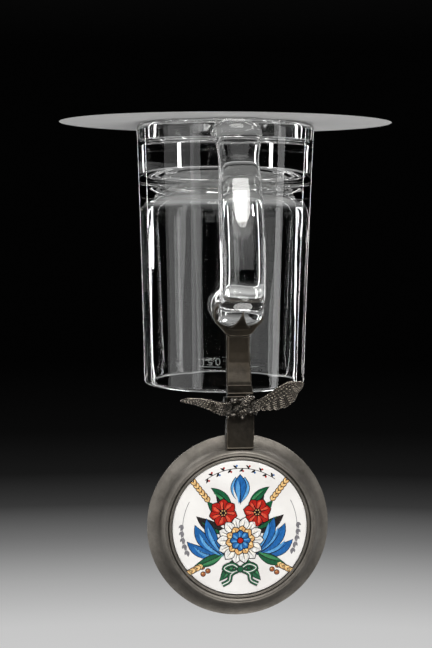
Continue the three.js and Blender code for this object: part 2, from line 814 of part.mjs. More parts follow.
const stein = new THREE.Group();
stein.add(mug, lid);
stein.position.y = (gripReach + handleThickness / 2 - footRadius) / 2;

export default stein;
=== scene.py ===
"""A half-litre glass stein with a pewter lid, shown turned over with its painted lid hanging open."""

import json
import math

import bmesh
import bpy
import numpy as np
from mathutils import Matrix, Vector


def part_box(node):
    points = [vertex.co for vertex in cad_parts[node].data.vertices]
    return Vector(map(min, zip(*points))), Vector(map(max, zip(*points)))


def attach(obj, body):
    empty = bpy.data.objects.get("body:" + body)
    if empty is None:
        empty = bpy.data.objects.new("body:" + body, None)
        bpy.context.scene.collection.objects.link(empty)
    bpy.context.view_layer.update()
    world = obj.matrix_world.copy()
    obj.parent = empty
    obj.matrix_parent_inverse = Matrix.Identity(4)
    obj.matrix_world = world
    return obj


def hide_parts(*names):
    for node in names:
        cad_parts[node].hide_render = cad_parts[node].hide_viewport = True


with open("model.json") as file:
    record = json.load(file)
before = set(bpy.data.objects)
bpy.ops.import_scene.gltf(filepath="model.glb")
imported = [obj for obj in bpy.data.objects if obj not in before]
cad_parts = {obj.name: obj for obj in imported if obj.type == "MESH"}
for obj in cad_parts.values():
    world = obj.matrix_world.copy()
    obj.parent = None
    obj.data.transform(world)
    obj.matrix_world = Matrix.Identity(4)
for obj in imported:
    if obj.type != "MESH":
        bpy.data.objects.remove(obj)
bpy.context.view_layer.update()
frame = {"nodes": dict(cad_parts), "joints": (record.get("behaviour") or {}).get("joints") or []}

mm = 0.001

# How near each other points of a mesh become one, in metres
WELD = 1e-7
GLASS_WELD = 2e-6
SLIVER = 5e-6

# The glass, in millimetres: what the frame's box can't tell is named here
WALL = 3.5
WALL_CURVE = 1.3
FLOOR_HEIGHT = 22
FLOOR_CORNER_WIDTH = 24
FLOOR_CORNER_HEIGHT = 26
FLOOR_CORNER_POWER = 2.4
RECESS_DEPTH = 11.3
RECESS_CORNER = 3.5
FOOT_WALL = 5.6
FOOT_OUTER_ROUND = 3
FOOT_INNER_ROUND = 1.2
RIM_RADIUS = 41.9
WAVINESS = 0.14
FILL_HEIGHT = 121
MARK_WIDTH = 0.42
HANDLE_WIDTH = 21.4
HANDLE_FOOT_WIDTH = 23
HANDLE_WAIST = 19.4
WAIST_SHARE = 0.17
HANDLE_THICKNESS = 11
HANDLE_TOP = 99.5
HANDLE_FOOT = 1
FINGER_ROOM = 21.8
GRIP_HEIGHT = 77
KNEE_HEIGHT = 21
KNEE_ROOM = 2.5
KNEE_RISE = 1.6
BEND_RADIUS = 13
GATHER_WIDTH = 24.4
GATHER_HEIGHT = 21.6
GATHER_BULGE = 4.4
GATHER_DROP = 3.4
PAD_HEIGHT = 12
PAD_BULGE = 3.6
INNER_CORNER = -0.3

# The lid and the thumblift
SEAT_GAP = 0.3
LID_RADIUS = 44.1
LIP_THICKNESS = 1.4
CREST_INSET = 1.55
CREST_HEIGHT = 9.2
BEZEL_WIDTH = 1.3
SEAT_FLOOR_HEIGHT = 1.8
SEAT_FLOOR = 0.8
SEAT_LIP = 4.8
LINER_RADIUS = 37.6
LINER_THICKNESS = 1.2
CENTRING_RADIUS = 36.8
CENTRING_FLANGE = 1.6
CENTRING_DEPTH = 2.8
BED_THICKNESS = 1.4
BED_INSET = 0.4
INLAY_RADIUS = 32.45
INLAY_THICKNESS = 3.8
INLAY_CROWN = 0.9
EAGLE_SEAT = 7.3
EAGLE_HEIGHT = 9.5
WING_SPAN = 58
WING_CHORD = 12.6
WING_THICKNESS = 1.8
WING_FAN = 76
THUMBLIFT_TWIST = 8
FEATHERS = 8
BROKEN_CORNER = 0.15
STRAP_PAD_SIDE = 8.5
STRAP_PAD_FRONT = -8
STRAP_PAD_BACK = 9

# Each wing: how far its root and leading edge lie towards the lid, its pitch in degrees at the shoulder and at
# the tip, and its chord at even steps as a share of WING_CHORD
SLIM_WING = {
    "root": -3,
    "lead": -8.6,
    "pitches": (58, 24),
    "chords": (0.5, 0.62, 0.74, 0.74, 0.68, 0.6, 0.5, 0.42, 0.34),
}
BROAD_WING = {
    "root": -1.4,
    "lead": -9.6,
    "pitches": (68, 68),
    "chords": (0.42, 0.45, 0.5, 0.66, 0.83, 0.96, 1, 0.72, 0.5),
}

# The camera: where it stands from the glass's axis, in millimetres, and how it is turned, in degrees
CAMERA_AZIMUTH = 6.97
CAMERA_DISTANCE = 675.6
CAMERA_HEIGHT = 41.75
CAMERA_YAW = -0.37
CAMERA_PITCH = 5.23
CAMERA_ROLL = 0.22
FOCAL_LENGTH = 72.16
SENSOR_WIDTH = 36

mug_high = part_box("glass_mug")[1]
GLASS_HEIGHT = mug_high.z / mm
FOOT_RADIUS = mug_high.x / mm
AXIS_Y = mug_high.y / mm - FOOT_RADIUS

hinge = frame["joints"][0]
PIN_Y = hinge["pos_m"][1] / mm
PIN_Z = hinge["pos_m"][2] / mm
PIN_CENTRE = (0, PIN_Y * mm, PIN_Z * mm)
OPEN_ANGLE = hinge["range_deg"][1]
PIN_REACH = AXIS_Y - PIN_Y
LID_PLANE = GLASS_HEIGHT + SEAT_GAP - PIN_Z
BEZEL_RADIUS = INLAY_RADIUS + SEAT_GAP + BEZEL_WIDTH
SEAT_RADIUS = BEZEL_RADIUS + SEAT_GAP
CREST_RADIUS = SEAT_RADIUS + CREST_INSET
BED_BOTTOM = SEAT_FLOOR_HEIGHT + SEAT_FLOOR + SEAT_GAP
INLAY_BOTTOM = BED_BOTTOM + BED_THICKNESS + SEAT_GAP
INLAY_EDGE = INLAY_BOTTOM + INLAY_THICKNESS


class Value:
    """One value of a finish. Arithmetic on it adds the Math node that works it out."""

    def __init__(self, finish, socket):
        self.finish = finish
        self.socket = socket

    def maths(self, operation, other):
        return self.finish.add("ShaderNodeMath", {"operation": operation}, {0: self, 1: other})

    def __add__(self, other):
        return self.maths("ADD", other)

    def __mul__(self, other):
        return self.maths("MULTIPLY", other)

    __radd__ = __add__
    __rmul__ = __mul__


class Finish:
    """A material, or the world, whose nodes are added one call at a time."""

    def __init__(self, name, owner=None):
        self.owner = owner or bpy.data.materials.new(name)
        self.owner.use_nodes = True
        self.tree = self.owner.node_tree
        self.tree.nodes.clear()

    def add(self, kind, settings=None, sockets=None, out=0):
        node = self.tree.nodes.new(kind)
        for key, value in (settings or {}).items():
            if key == "stops":
                self.set_stops(node.color_ramp, value)
            else:
                setattr(node, key, value)
        for key, value in (sockets or {}).items():
            socket = node.inputs[key]
            if isinstance(value, Value):
                self.tree.links.new(value.socket, socket)
            elif value is not None:
                socket.default_value = value
        return Value(self, node.outputs[out]) if len(node.outputs) else None

    @staticmethod
    def set_stops(ramp, stops):
        while len(ramp.elements) > 1:
            ramp.elements.remove(ramp.elements[-1])
        for i, (place, tone) in enumerate(stops):
            element = ramp.elements[0] if i == 0 else ramp.elements.new(place)
            element.position = place
            element.color = (*tone[:3], 1) if isinstance(tone, tuple) else (tone, tone, tone, 1)

    def place(self):
        """Where a point of the surface is, in metres, in the piece's own frame."""
        return self.add("ShaderNodeTexCoord", out="Object")

    def noise(self, place, scale, detail=3, roughness=0.5, distortion=0.0):
        sockets = {"Vector": place, "Scale": scale, "Detail": detail, "Roughness": roughness}
        return self.add("ShaderNodeTexNoise", {}, {**sockets, "Distortion": distortion}, "Fac")

    def stretch(self, place, x=1, y=1, z=1):
        return self.add("ShaderNodeVectorMath", {"operation": "MULTIPLY"}, {0: place, 1: (x, y, z)})

    def reach(self, place, centre, **across):
        """Distance in metres from an axis through centre; the axis runs the way that is given as 0."""
        offset = self.add("ShaderNodeVectorMath", {"operation": "SUBTRACT"}, {0: place, 1: centre})
        flat = self.stretch(offset, **across)
        return self.add("ShaderNodeVectorMath", {"operation": "LENGTH"}, {0: flat}, "Value")

    def ramp(self, value, stops, out="Color"):
        return self.add("ShaderNodeValToRGB", {"stops": stops}, {"Fac": value}, out)

    def mix(self, share, first, second):
        return self.add("ShaderNodeMix", {"data_type": "RGBA"}, {0: share, 6: first, 7: second}, 2)

    def bump(self, height, depth, strength=1.0, normal=None):
        sockets = {"Height": height, "Distance": depth, "Strength": strength, "Normal": normal}
        return self.add("ShaderNodeBump", {}, sockets)

    def surface(self, **sockets):
        named = {key.replace("_", " ").title().replace("Ior", "IOR"): value for key, value in sockets.items()}
        shader = self.add("ShaderNodeBsdfPrincipled", {}, named)
        self.add("ShaderNodeOutputMaterial", {}, {"Surface": shader})
        return self.owner


def colour(red, green, blue, lift=1.0):
    """A colour given as it looks on a screen, 0 to 255, as the renderer counts it."""
    def straight(v):
        v = min(v * lift, 255) / 255
        return v / 12.92 if v <= 0.04045 else ((v + 0.055) / 1.055) ** 2.4
    return straight(red), straight(green), straight(blue), 1.0


def times(tone, share):
    """A colour made darker or brighter."""
    return (*(v * share for v in tone[:3]), 1.0)


# Finishes
def clear_glass():
    glass = Finish("clear_glass")
    place = glass.place()
    wave = glass.noise(glass.stretch(place, z=0.3), 70, 2)
    ripple = glass.noise(glass.stretch(place, z=0.5), 260, 2)
    dust = glass.noise(place, 1100, 1)
    return glass.surface(
        base_color=(0.985, 0.99, 0.985, 1),
        roughness=glass.ramp(dust, [(0.76, 0.0), (0.8, 0.22)]),
        ior=1.5,
        transmission_weight=1.0,
        normal=glass.bump(wave * 0.9 + ripple * 0.1, 0.00012, 0.5),
    )


def ground_glass():
    etched = Finish("ground_glass")
    grain = etched.noise(etched.place(), 4000, 2)
    return etched.surface(
        base_color=colour(214, 216, 214),
        roughness=0.7,
        alpha=etched.ramp(grain, [(0.3, 0.25), (0.7, 0.55)]),
        normal=etched.bump(grain, 0.00002, 0.5),
    )


def pewter(name, dark, light, rough_low, rough_high, turned_about=None, worn=0.0, chased=0.0, painted_shade_about=None):
    """Cast pewter. It can have a lathe's rings or painted shade about an axis, worn edges, and chased tool
    marks.
    """
    metal = Finish(name)
    place = metal.place()
    cloud = metal.noise(place, 90, 5, 0.62)
    blotch = metal.noise(metal.stretch(place, x=1.3), 420, 4, 0.65)
    tone = metal.ramp(cloud * 0.65 + blotch * 0.35, [(0.34, dark), (0.66, light)])
    rough = blotch * (rough_high - rough_low) + rough_low
    grain = metal.noise(place, 2600, 2)
    height = grain
    if turned_about:
        marks = metal.noise(metal.stretch(place, y=0), 30, 1)
        reach = metal.reach(place, turned_about, y=0)
        sockets = {"W": reach, "Scale": 3200, "Detail": 3}
        rings = metal.add("ShaderNodeTexNoise", {"noise_dimensions": "1D"}, sockets)
        height = grain * 0.4 + rings * 0.6 * marks
    if worn:
        tint = metal.noise(metal.stretch(place, z=0.7), 55, 2)
        tone = metal.mix(metal.ramp(tint, [(0.45, 0.0), (0.62, 0.5)]), tone, colour(72, 64, 53))
        relief = metal.add("ShaderNodeNewGeometry", out="Pointiness")
        edge = metal.ramp(relief, [(0.505, 0.0), (0.545, 1.0)])
        hollow = metal.ramp(relief, [(0.455, 1.0), (0.496, 0.0)])
        tone = metal.mix(edge * worn, tone, times(light, 3.6))
        tone = metal.mix(hollow * 0.75, tone, times(dark, 0.3))
    below = None
    if chased:
        below = metal.bump(metal.noise(metal.stretch(place, x=1.6), 1300, 2, 0.6), chased * mm, 0.8)
    # Painted shade: within about 11 mm of the axis the colour runs to near black, ragged at its edge, for the
    # shade in the recess about the hinge
    if painted_shade_about:
        ragged = metal.reach(place, painted_shade_about, x=0) + blotch * 0.003
        tone = metal.mix(metal.ramp(ragged, [(0.0108, 0.93), (0.012, 0.0)]), tone, colour(14, 13, 12))
    return metal.surface(
        base_color=tone,
        metallic=1.0,
        roughness=rough,
        normal=metal.bump(height, 0.00003, 0.6, below),
    )


def white_porcelain():
    glaze = Finish("white_porcelain")
    place = glaze.place()
    cloud = glaze.noise(place, 60, 4)
    speck = glaze.noise(place, 1500, 1)
    tone = glaze.ramp(cloud, [(0.3, colour(222, 219, 216)), (0.7, colour(236, 234, 231))])
    tone = glaze.mix(glaze.ramp(speck, [(0.78, 0.0), (0.84, 0.5)]), tone, colour(150, 140, 128))
    return glaze.surface(
        base_color=tone,
        roughness=0.1,
        coat_weight=0.3,
        normal=glaze.bump(glaze.noise(place, 240, 2), 0.00004, 0.4),
    )


def bed_plaster():
    plaster = Finish("bed_plaster")
    grain = plaster.noise(plaster.place(), 900, 5, 0.7)
    tone = plaster.ramp(grain, [(0.3, colour(190, 184, 172)), (0.7, colour(216, 211, 200))])
    return plaster.surface(base_color=tone, roughness=0.92, normal=plaster.bump(grain, 0.0001, 0.6))


def enamel(name, red, green, blue):
    """Enamel paint, laid on by brush: streaks of thin and thick colour under the glaze."""
    paint = Finish(name)
    place = paint.place()
    streak = paint.noise(paint.stretch(place, x=1.6, z=0.7), 700, 4, 0.6, 0.6)
    stops = [(at, colour(red, green, blue, lift)) for at, lift in ((0.3, 0.82), (0.55, 1.0), (0.75, 1.16))]
    return paint.surface(
        base_color=paint.ramp(streak, stops),
        roughness=0.22,
        coat_weight=0.25,
        normal=paint.bump(streak, 0.00003, 0.5),
    )


# Shapes
def bare_mesh(name, points, faces, weld=WELD):
    """A mesh with its points given in millimetres and its faces pointing out."""
    mesh = bpy.data.meshes.new(name)
    mesh.from_pydata([tuple(p) for p in np.array(points, float) * mm], [], faces)
    edit = bmesh.new()
    edit.from_mesh(mesh)
    bmesh.ops.remove_doubles(edit, verts=edit.verts, dist=weld)
    bmesh.ops.delete(edit, geom=[e for e in edit.edges if not e.link_faces], context="EDGES")
    bmesh.ops.recalc_face_normals(edit, faces=edit.faces)
    edit.to_mesh(mesh)
    edit.free()
    return mesh


def new_object(name, data):
    made = bpy.data.objects.new(name, data)
    bpy.context.scene.collection.objects.link(made)
    return made


def coat(mesh, finish, sharp):
    """Gives a mesh its finish, smooth but for the edges that turn by more than sharp degrees."""
    mesh.shade_smooth()
    mesh.set_sharp_from_angle(angle=math.radians(sharp))
    mesh.materials.clear()
    mesh.materials.append(finish)


def set_piece(name, mesh, finish, body, replaced, sharp):
    coat(mesh, finish, sharp)
    piece = new_object(name, mesh)
    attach(piece, body)
    if replaced:
        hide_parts(*replaced)


def arc(x, y, radius, start, end, steps):
    """Points of an arc, angles in degrees."""
    angles = np.radians(np.linspace(start, end, steps + 1))
    return [(x + radius * math.cos(a), y + radius * math.sin(a)) for a in angles]


def turned(profile, steps, wave=None):
    """Points and faces of a closed profile of radius and height, turned about the Z axis."""
    points, faces = [], []
    count = len(profile)
    for i in range(steps):
        angle = 2 * math.pi * i / steps
        for r, z in profile:
            swell = wave(angle, r, z) if wave else 0
            points.append(((r + swell) * math.sin(angle), -(r + swell) * math.cos(angle), z))
    for i in range(steps):
        here, there = i * count, ((i + 1) % steps) * count
        for k in range(count):
            n = (k + 1) % count
            faces.append((here + k, here + n, there + n, there + k))
    return np.array(points), faces


def loft(rings):
    """Points and faces of a skin over rings with equal counts, closed by a cap at each end."""
    count = len(rings[0])
    points = [tuple(p) for ring in rings for p in ring]
    faces = []
    for r in range(len(rings) - 1):
        for i in range(count):
            j = (i + 1) % count
            faces.append((r * count + i, r * count + j, (r + 1) * count + j, (r + 1) * count + i))
    faces.append(tuple(range(count))[::-1])
    faces.append(tuple((len(rings) - 1) * count + i for i in range(count)))
    return np.array(points), faces


def curve(controls):
    """A dense smooth line through the controls, forty points from each to the next."""
    controls = [np.array(p, float) for p in controls]
    chain = [2 * controls[0] - controls[1], *controls, 2 * controls[-1] - controls[-2]]
    dense = []
    for p0, p1, p2, p3 in zip(chain, chain[1:], chain[2:], chain[3:]):
        knots = [0.0]
        for a, b in ((p0, p1), (p1, p2), (p2, p3)):
            knots.append(knots[-1] + math.sqrt(np.linalg.norm(b - a)))
        t0, t1, t2, t3 = knots
        for t in np.linspace(t1, t2, 40, endpoint=False):
            a1 = ((t1 - t) * p0 + (t - t0) * p1) / (t1 - t0)
            a2 = ((t2 - t) * p1 + (t - t1) * p2) / (t2 - t1)
            a3 = ((t3 - t) * p2 + (t - t2) * p3) / (t3 - t2)
            b1 = ((t2 - t) * a1 + (t - t0) * a2) / (t2 - t0)
            b2 = ((t3 - t) * a2 + (t - t1) * a3) / (t3 - t1)
            dense.append(((t2 - t) * b1 + (t - t1) * b2) / (t2 - t1))
    return np.array([*dense, controls[-1]])


def sample(line, places, by):
    """Points of a line at some places along it, where by says how far along its own points lie."""
    return np.stack([np.interp(places, by, line[:, k]) for k in range(line.shape[1])], 1)


def evenly(controls, count):
    """Evenly spaced points on the smooth line through the controls."""
    line = curve(controls)
    run = np.concatenate([[0], np.cumsum(np.linalg.norm(np.diff(line, axis=0), axis=1))])
    return sample(line, np.linspace(0, run[-1], count), run)


def smoothstep(x, low, high):
    """0 below low, 1 above high, and a soft run between them."""
    share = min(max((x - low) / (high - low), 0), 1)
    return share * share * (3 - 2 * share)


def superellipse(half_width, half_thickness, power, count):
    def bulged(v):
        return math.copysign(abs(v) ** (2 / power), v)
    angles = [2 * math.pi * i / count for i in range(count)]
    return [(half_width * bulged(math.cos(a)), half_thickness * bulged(math.sin(a))) for a in angles]


def rolled(x, y, degrees):
    """Two coordinates turned about the third axis."""
    c, s = math.cos(math.radians(degrees)), math.sin(math.radians(degrees))
    return x * c - y * s, x * s + y * c


def ball(centre, radii, tilt=0.0, around=20, up=14):
    """Points and faces of an ellipsoid, tilted about X by degrees."""
    points, faces = [], []
    for k in range(up + 1):
        down = math.pi * k / up
        for i in range(around):
            turn = 2 * math.pi * i / around
            points.append((math.sin(down) * math.cos(turn), math.sin(down) * math.sin(turn), math.cos(down)))
    for k in range(up):
        for i in range(around):
            j = (i + 1) % around
            faces.append((k * around + i, k * around + j, (k + 1) * around + j, (k + 1) * around + i))
    x, y, z = (np.array(points) * np.array(radii)).T
    y, z = rolled(y, z, tilt)
    return np.stack([x, y, z], 1) + np.array(centre), faces


def gathered(shapes):
    """Several shapes as one list of points and faces."""
    points, faces = [], []
    for some_points, some_faces in shapes:
        start = len(points)
        points += [tuple(p) for p in some_points]
        faces += [tuple(start + i for i in face) for face in some_faces]
    return np.array(points), faces


def opened(points):
    """Points given about the pin with the lid closed, where they are with the lid open."""
    x, y, z = np.array(points, float).T
    y, z = rolled(y, z, OPEN_ANGLE)
    return np.stack([x, PIN_Y + y, PIN_Z + z], 1)


def on_open_lid(points):
    """Points given about the lid's own axis over its rim plane, where they are with the lid open."""
    return opened(np.array(points, float) + np.array((0, PIN_REACH, LID_PLANE)))


LID_CENTRE = tuple(on_open_lid([(0, 0, 0)])[0] * mm)


def after(mesh, add_modifiers):
    """The mesh as it comes out of some modifiers."""
    part = new_object("part", mesh)
    helpers = add_modifiers(part) or []
    bpy.context.view_layer.update()
    shaped = part.evaluated_get(bpy.context.evaluated_depsgraph_get())
    made = bpy.data.meshes.new_from_object(shaped)
    for item in (part, *helpers):
        bpy.data.objects.remove(item)
    return made


def cast(mesh, grain, softness):
    """One even skin over solids that run into each other, its edges soft as out of a mould."""
    def modifiers(part):
        skin = part.modifiers.new("skin", "REMESH")
        skin.mode = "VOXEL"
        skin.voxel_size = grain * mm
        soft = part.modifiers.new("soft", "SMOOTH")
        soft.factor = 0.5
        soft.iterations = softness
    return after(mesh, modifiers)


# The glass
def wall_radius(z):
    share = min(max(z / GLASS_HEIGHT, 0), 1)
    return FOOT_RADIUS - (FOOT_RADIUS - RIM_RADIUS) * (1 - (1 - share) ** WALL_CURVE)


GRIP_REACH = wall_radius(GRIP_HEIGHT) + FINGER_ROOM + HANDLE_THICKNESS / 2
ARM_HEIGHT = HANDLE_TOP - HANDLE_THICKNESS / 2


def floor_corner(steps):
    """How far the cavity's corner reaches inward and down, from the wall to the floor without a break."""
    angles = np.linspace(0, math.pi / 2, steps + 1)
    inward = FLOOR_CORNER_WIDTH * np.abs(np.cos(angles)) ** (2 / FLOOR_CORNER_POWER)
    down = FLOOR_CORNER_HEIGHT * np.abs(np.sin(angles)) ** (2 / FLOOR_CORNER_POWER)
    return zip(inward, down)


def glass_profile():
    recess = FOOT_RADIUS - FOOT_WALL
    rim = WALL / 2
    corner_top = FLOOR_HEIGHT + FLOOR_CORNER_HEIGHT
    corner_reach = wall_radius(corner_top) - WALL - FLOOR_CORNER_WIDTH
    outer = np.linspace(FOOT_OUTER_ROUND, GLASS_HEIGHT - rim, 40)[1:-1]
    inner = np.linspace(GLASS_HEIGHT - rim, corner_top, 40)[1:-1]
    return [
        (0, RECESS_DEPTH),
        *[(r, RECESS_DEPTH) for r in np.linspace(4, recess - RECESS_CORNER - 2, 8)],
        *arc(recess - RECESS_CORNER, RECESS_DEPTH - RECESS_CORNER, RECESS_CORNER, 90, 0, 8),
        *arc(recess + FOOT_INNER_ROUND, FOOT_INNER_ROUND, FOOT_INNER_ROUND, 180, 270, 6),
        *arc(FOOT_RADIUS - FOOT_OUTER_ROUND, FOOT_OUTER_ROUND, FOOT_OUTER_ROUND, 270, 358, 8),
        *[(wall_radius(z), z) for z in outer],
        *arc(RIM_RADIUS - rim, GLASS_HEIGHT - rim, rim, 0, 180, 12),
        *[(wall_radius(z) - WALL, z) for z in inner],
        *[(corner_reach + r, corner_top - z) for r, z in floor_corner(28)],
        *[(r, FLOOR_HEIGHT) for r in np.linspace(corner_reach - 2, 4, 8)],
        (0, FLOOR_HEIGHT),
    ]


def blown(angle, radius, z):
    """The uneven run of the inner wall, where the glass was blown into its mould."""
    inside = radius < wall_radius(z) - WALL * 0.9 and z > FLOOR_HEIGHT - 1
    if not inside:
        return 0
    over_floor = smoothstep(z, FLOOR_HEIGHT, FLOOR_HEIGHT + 25)
    near_rim = smoothstep(z, GLASS_HEIGHT - 12, GLASS_HEIGHT - 2)
    run = math.sin(5 * angle + 0.6)
    run += 0.6 * math.sin(11 * angle + 1.9 + z / 40)
    run += 0.35 * math.sin(23 * angle + z / 25)
    return WAVINESS * over_floor * (1 - near_rim) * run / 2


def handle_line():
    """The handle's centre line as reach from the mug's axis and height, from the foot to the top."""
    foot = HANDLE_FOOT + HANDLE_THICKNESS / 2
    return evenly(
        [
            (wall_radius(foot) - WALL * 0.8, foot),
            (wall_radius(foot) + KNEE_ROOM * 1.8, foot + KNEE_RISE),
            (wall_radius(KNEE_HEIGHT) + KNEE_ROOM + HANDLE_THICKNESS / 2, KNEE_HEIGHT),
            (GRIP_REACH - FINGER_ROOM * 0.42, (KNEE_HEIGHT * 2 + GRIP_HEIGHT) / 3),
            (GRIP_REACH - FINGER_ROOM * 0.11, (KNEE_HEIGHT + GRIP_HEIGHT * 2) / 3),
            (GRIP_REACH, GRIP_HEIGHT),
            (GRIP_REACH - BEND_RADIUS * 0.3, GRIP_HEIGHT + (ARM_HEIGHT - GRIP_HEIGHT) * 0.72),
            (GRIP_REACH - BEND_RADIUS, ARM_HEIGHT),
            (wall_radius(ARM_HEIGHT) + 6, ARM_HEIGHT - 0.6),
            (wall_radius(ARM_HEIGHT) - WALL * 0.6, ARM_HEIGHT - 2.6),
        ],
        121,
    )


def handle_width(share):
    """Spread where the handle was pressed on, drawn in at the knee, full at the grip."""
    into = smoothstep(share, WAIST_SHARE / 3, WAIST_SHARE)
    out = smoothstep(share, WAIST_SHARE, WAIST_SHARE * 2)
    return HANDLE_FOOT_WIDTH + (HANDLE_WAIST - HANDLE_FOOT_WIDTH) * into + (HANDLE_WIDTH - HANDLE_WAIST) * out


def handle_rings():
    line = handle_line()
    rings = []
    for i, ((reach, height), (dr, dz)) in enumerate(zip(line, directions(line))):
        width = handle_width(i / (len(line) - 1))
        section = superellipse(width / 2, HANDLE_THICKNESS / 2, 2.6, 48)
        rings.append([(x, AXIS_Y - reach - dz * t, height - dr * t) for x, t in section])
    return rings


def lump_on_wall(name, width, low, high, bulge):
    """A flattened lump of glass that wraps the wall where the handle is fused on."""
    points, faces = ball((0, 0, 0), (1, 1, 1), around=48, up=32)
    middle, half = (low + high) / 2, (high - low) / 2
    wrapped = []
    for x, y, z in points:
        seat = wall_radius(middle + z * half) - WALL / 2
        reach = seat + y * (bulge + WALL / 2 if y > 0 else WALL / 4)
        angle = x * width / 2 / seat
        wrapped.append((-reach * math.sin(angle), AXIS_Y - reach * math.cos(angle), middle + z * half))
    return bare_mesh(name, wrapped, faces, GLASS_WELD)


def fused(meshes):
    """One mesh of meshes that run into each other."""
    def modifiers(part):
        others = []
        for mesh in meshes[1:]:
            other = new_object("other", mesh)
            join = part.modifiers.new("join", "BOOLEAN")
            join.operation = "UNION"
            join.solver = "MANIFOLD"
            join.object = other
            others.append(other)
        return others
    return after(meshes[0], modifiers)


def melt(mesh, turns, spread):
    """Softens the inner corners where glass was pressed onto glass, and drops the slivers of the union."""
    edit = bmesh.new()
    edit.from_mesh(mesh)
    bmesh.ops.dissolve_degenerate(edit, dist=SLIVER, edges=edit.edges)
    edit.verts.index_update()
    corner = set()
    for edge in edit.edges:
        if len(edge.link_faces) == 2 and edge.calc_face_angle_signed() < INNER_CORNER:
            corner.update(edge.verts)
    for _ in range(spread):
        corner.update(v for c in list(corner) for e in c.link_edges for v in e.verts)
    corner = sorted(corner, key=lambda v: v.index)
    for _ in range(turns):
        bmesh.ops.smooth_vert(edit, verts=corner, factor=0.5, use_axis_x=True, use_axis_y=True, use_axis_z=True)
    edit.to_mesh(mesh)
    edit.free()


def glass_mug(glass):
    points, faces = turned(glass_profile(), 160, blown)
    body = bare_mesh("body", points + np.array((0, AXIS_Y, 0)), faces, GLASS_WELD)
    handle = bare_mesh("handle", *loft(handle_rings()))
    middle = ARM_HEIGHT - GATHER_DROP
    half = GATHER_HEIGHT / 2
    gather = lump_on_wall("gather", GATHER_WIDTH, middle - half, middle + half, GATHER_BULGE)
    pad = lump_on_wall("pad", HANDLE_FOOT_WIDTH, HANDLE_FOOT, HANDLE_FOOT + PAD_HEIGHT, PAD_BULGE)
    mesh = fused([body, handle, gather, pad])
    melt(mesh, turns=6, spread=2)
    set_piece("glass_body", mesh, glass, "mug", ["glass_mug"], 60)


# The mount, as castings over the solids of the frame
def casting(node, finish, body):
    mesh = cast(frame["nodes"][node].data.copy(), grain=0.25, softness=3)
    set_piece(f"{node}_casting", mesh, finish, body, [node], 50)


# The thumblift, about the pin with the lid closed
def row_of_scales(along, share, rows, count):
    """Height of small feathers that lie over each other like tiles, in rows along the wing."""
    place = along * rows
    row = math.floor(place)
    across = abs(math.sin(math.pi * (share * count + 0.5 * (row % 2))))
    down = place - row
    tip = 0.55 + 0.45 * across
    return (0.25 + 0.75 * down / tip) * (0.45 + 0.55 * across) if down < tip else 0.15


def broad_wing(along, share):
    """Height of the open wing's upper face, as a share of its thickness: coverts over the flight feathers."""
    covered = 0.44 + 0.06 * abs(math.sin(math.pi * (share * FEATHERS + 0.5)))
    if along < covered:
        return 0.3 + 0.42 * row_of_scales(along / covered, share, 3, FEATHERS * 2) - 0.25 * along
    place = (share * FEATHERS) % 1 - 0.5
    vane = 0.3 * math.cos(math.pi * place * 0.9) - 0.12 * place
    shaft = 0.12 * max(0, 1 - abs(place) / 0.09)
    barbs = 0.13 * math.sin(along * 58 + 13 * abs(place))
    return (0.06 + vane + shaft + barbs) * (1.1 - 0.5 * along)


def slim_wing(along, share):
    """Height of the wing that is seen along its length: long vanes from a smooth shoulder to the tip."""
    fade = smoothstep(share, 0.16, 0.36)
    vane = abs(math.sin(math.pi * (4.4 * along + 1.1 * share))) ** 0.8
    barbs = 0.09 * math.sin(share * 110 - along * 9)
    small = row_of_scales(min(along, 0.999), share, 5, 22) if share < 0.62 else 0
    near = 1 - smoothstep(share, 0.4, 0.6)
    return 0.3 + fade * (near * 0.44 * small + (1 - near) * (0.5 * vane + barbs) - 0.16)


def wing(side, relief, root, lead, pitches, chords):
    """A wing from its shoulder to its tip: a skin over ribs that swing out into a fan at the tip."""
    half = WING_SPAN / 2
    leading = curve([
        (0.08 * half, root, EAGLE_SEAT + 4.6),
        (0.34 * half, root * 0.5 - 3.2, EAGLE_SEAT + 6.9),
        (0.58 * half, -7.4, EAGLE_SEAT + 8),
        (0.78 * half, lead, EAGLE_SEAT + 8),
        (half, -9.2, EAGLE_SEAT + 7.2),
    ])
    shares = np.linspace(0, 1, FEATHERS * 15 + 1)
    edges = sample(leading, 0.83 * shares, np.linspace(0, 1, len(leading)))
    rings = []
    for share, edge in zip(shares, edges):
        pitch = math.radians(np.interp(share, (0, 1), pitches))
        chord_way = np.array((0, math.sin(pitch), -math.cos(pitch)))
        thick_way = np.array((0, math.cos(pitch), math.sin(pitch)))
        fan = math.radians(WING_FAN * share**5)
        way = chord_way * math.cos(fan) + np.array((math.sin(fan), 0, 0))
        lobe = abs(math.sin(math.pi * share * FEATHERS))
        chord = np.interp(share, np.linspace(0, 1, len(chords)), chords)
        length = WING_CHORD * chord * (1 - 0.05 * (1 - lobe))
        thick = WING_THICKNESS * (1 - 0.45 * share)
        over = [(a, relief(a, share)) for a in np.linspace(0.02, 0.97, 54)]
        under = [(a, -0.5 + 0.42 * a**2) for a in np.linspace(0.97, 0.05, 10)]
        outline = [(0, 0), *over, (1, 0.0), *under]
        rings.append([edge + way * (a * length) + thick_way * (h * thick) for a, h in outline])
    points, faces = loft(rings)
    return points * np.array((side, 1, 1)), faces


def tile(at, outward, width, length):
    """A small feather that lies against the body, its free end down and a little off."""
    out = Vector(outward).normalized()
    down = (Vector((0, 0, -1)) + out * out.z).normalized()
    down = (down + out * 0.14).normalized()
    side = out.cross(down).normalized()
    out = down.cross(side)
    points, faces = ball((0, 0, 0), (1, 1, 1), around=10, up=8)
    x, y, z = points.T
    narrow = 1 - 0.35 * np.clip(z, 0, 1)
    spread = np.outer(x * narrow * width / 2, side) + np.outer(y * 0.3, out) + np.outer(z * length / 2, down)
    return spread + np.array(at), faces


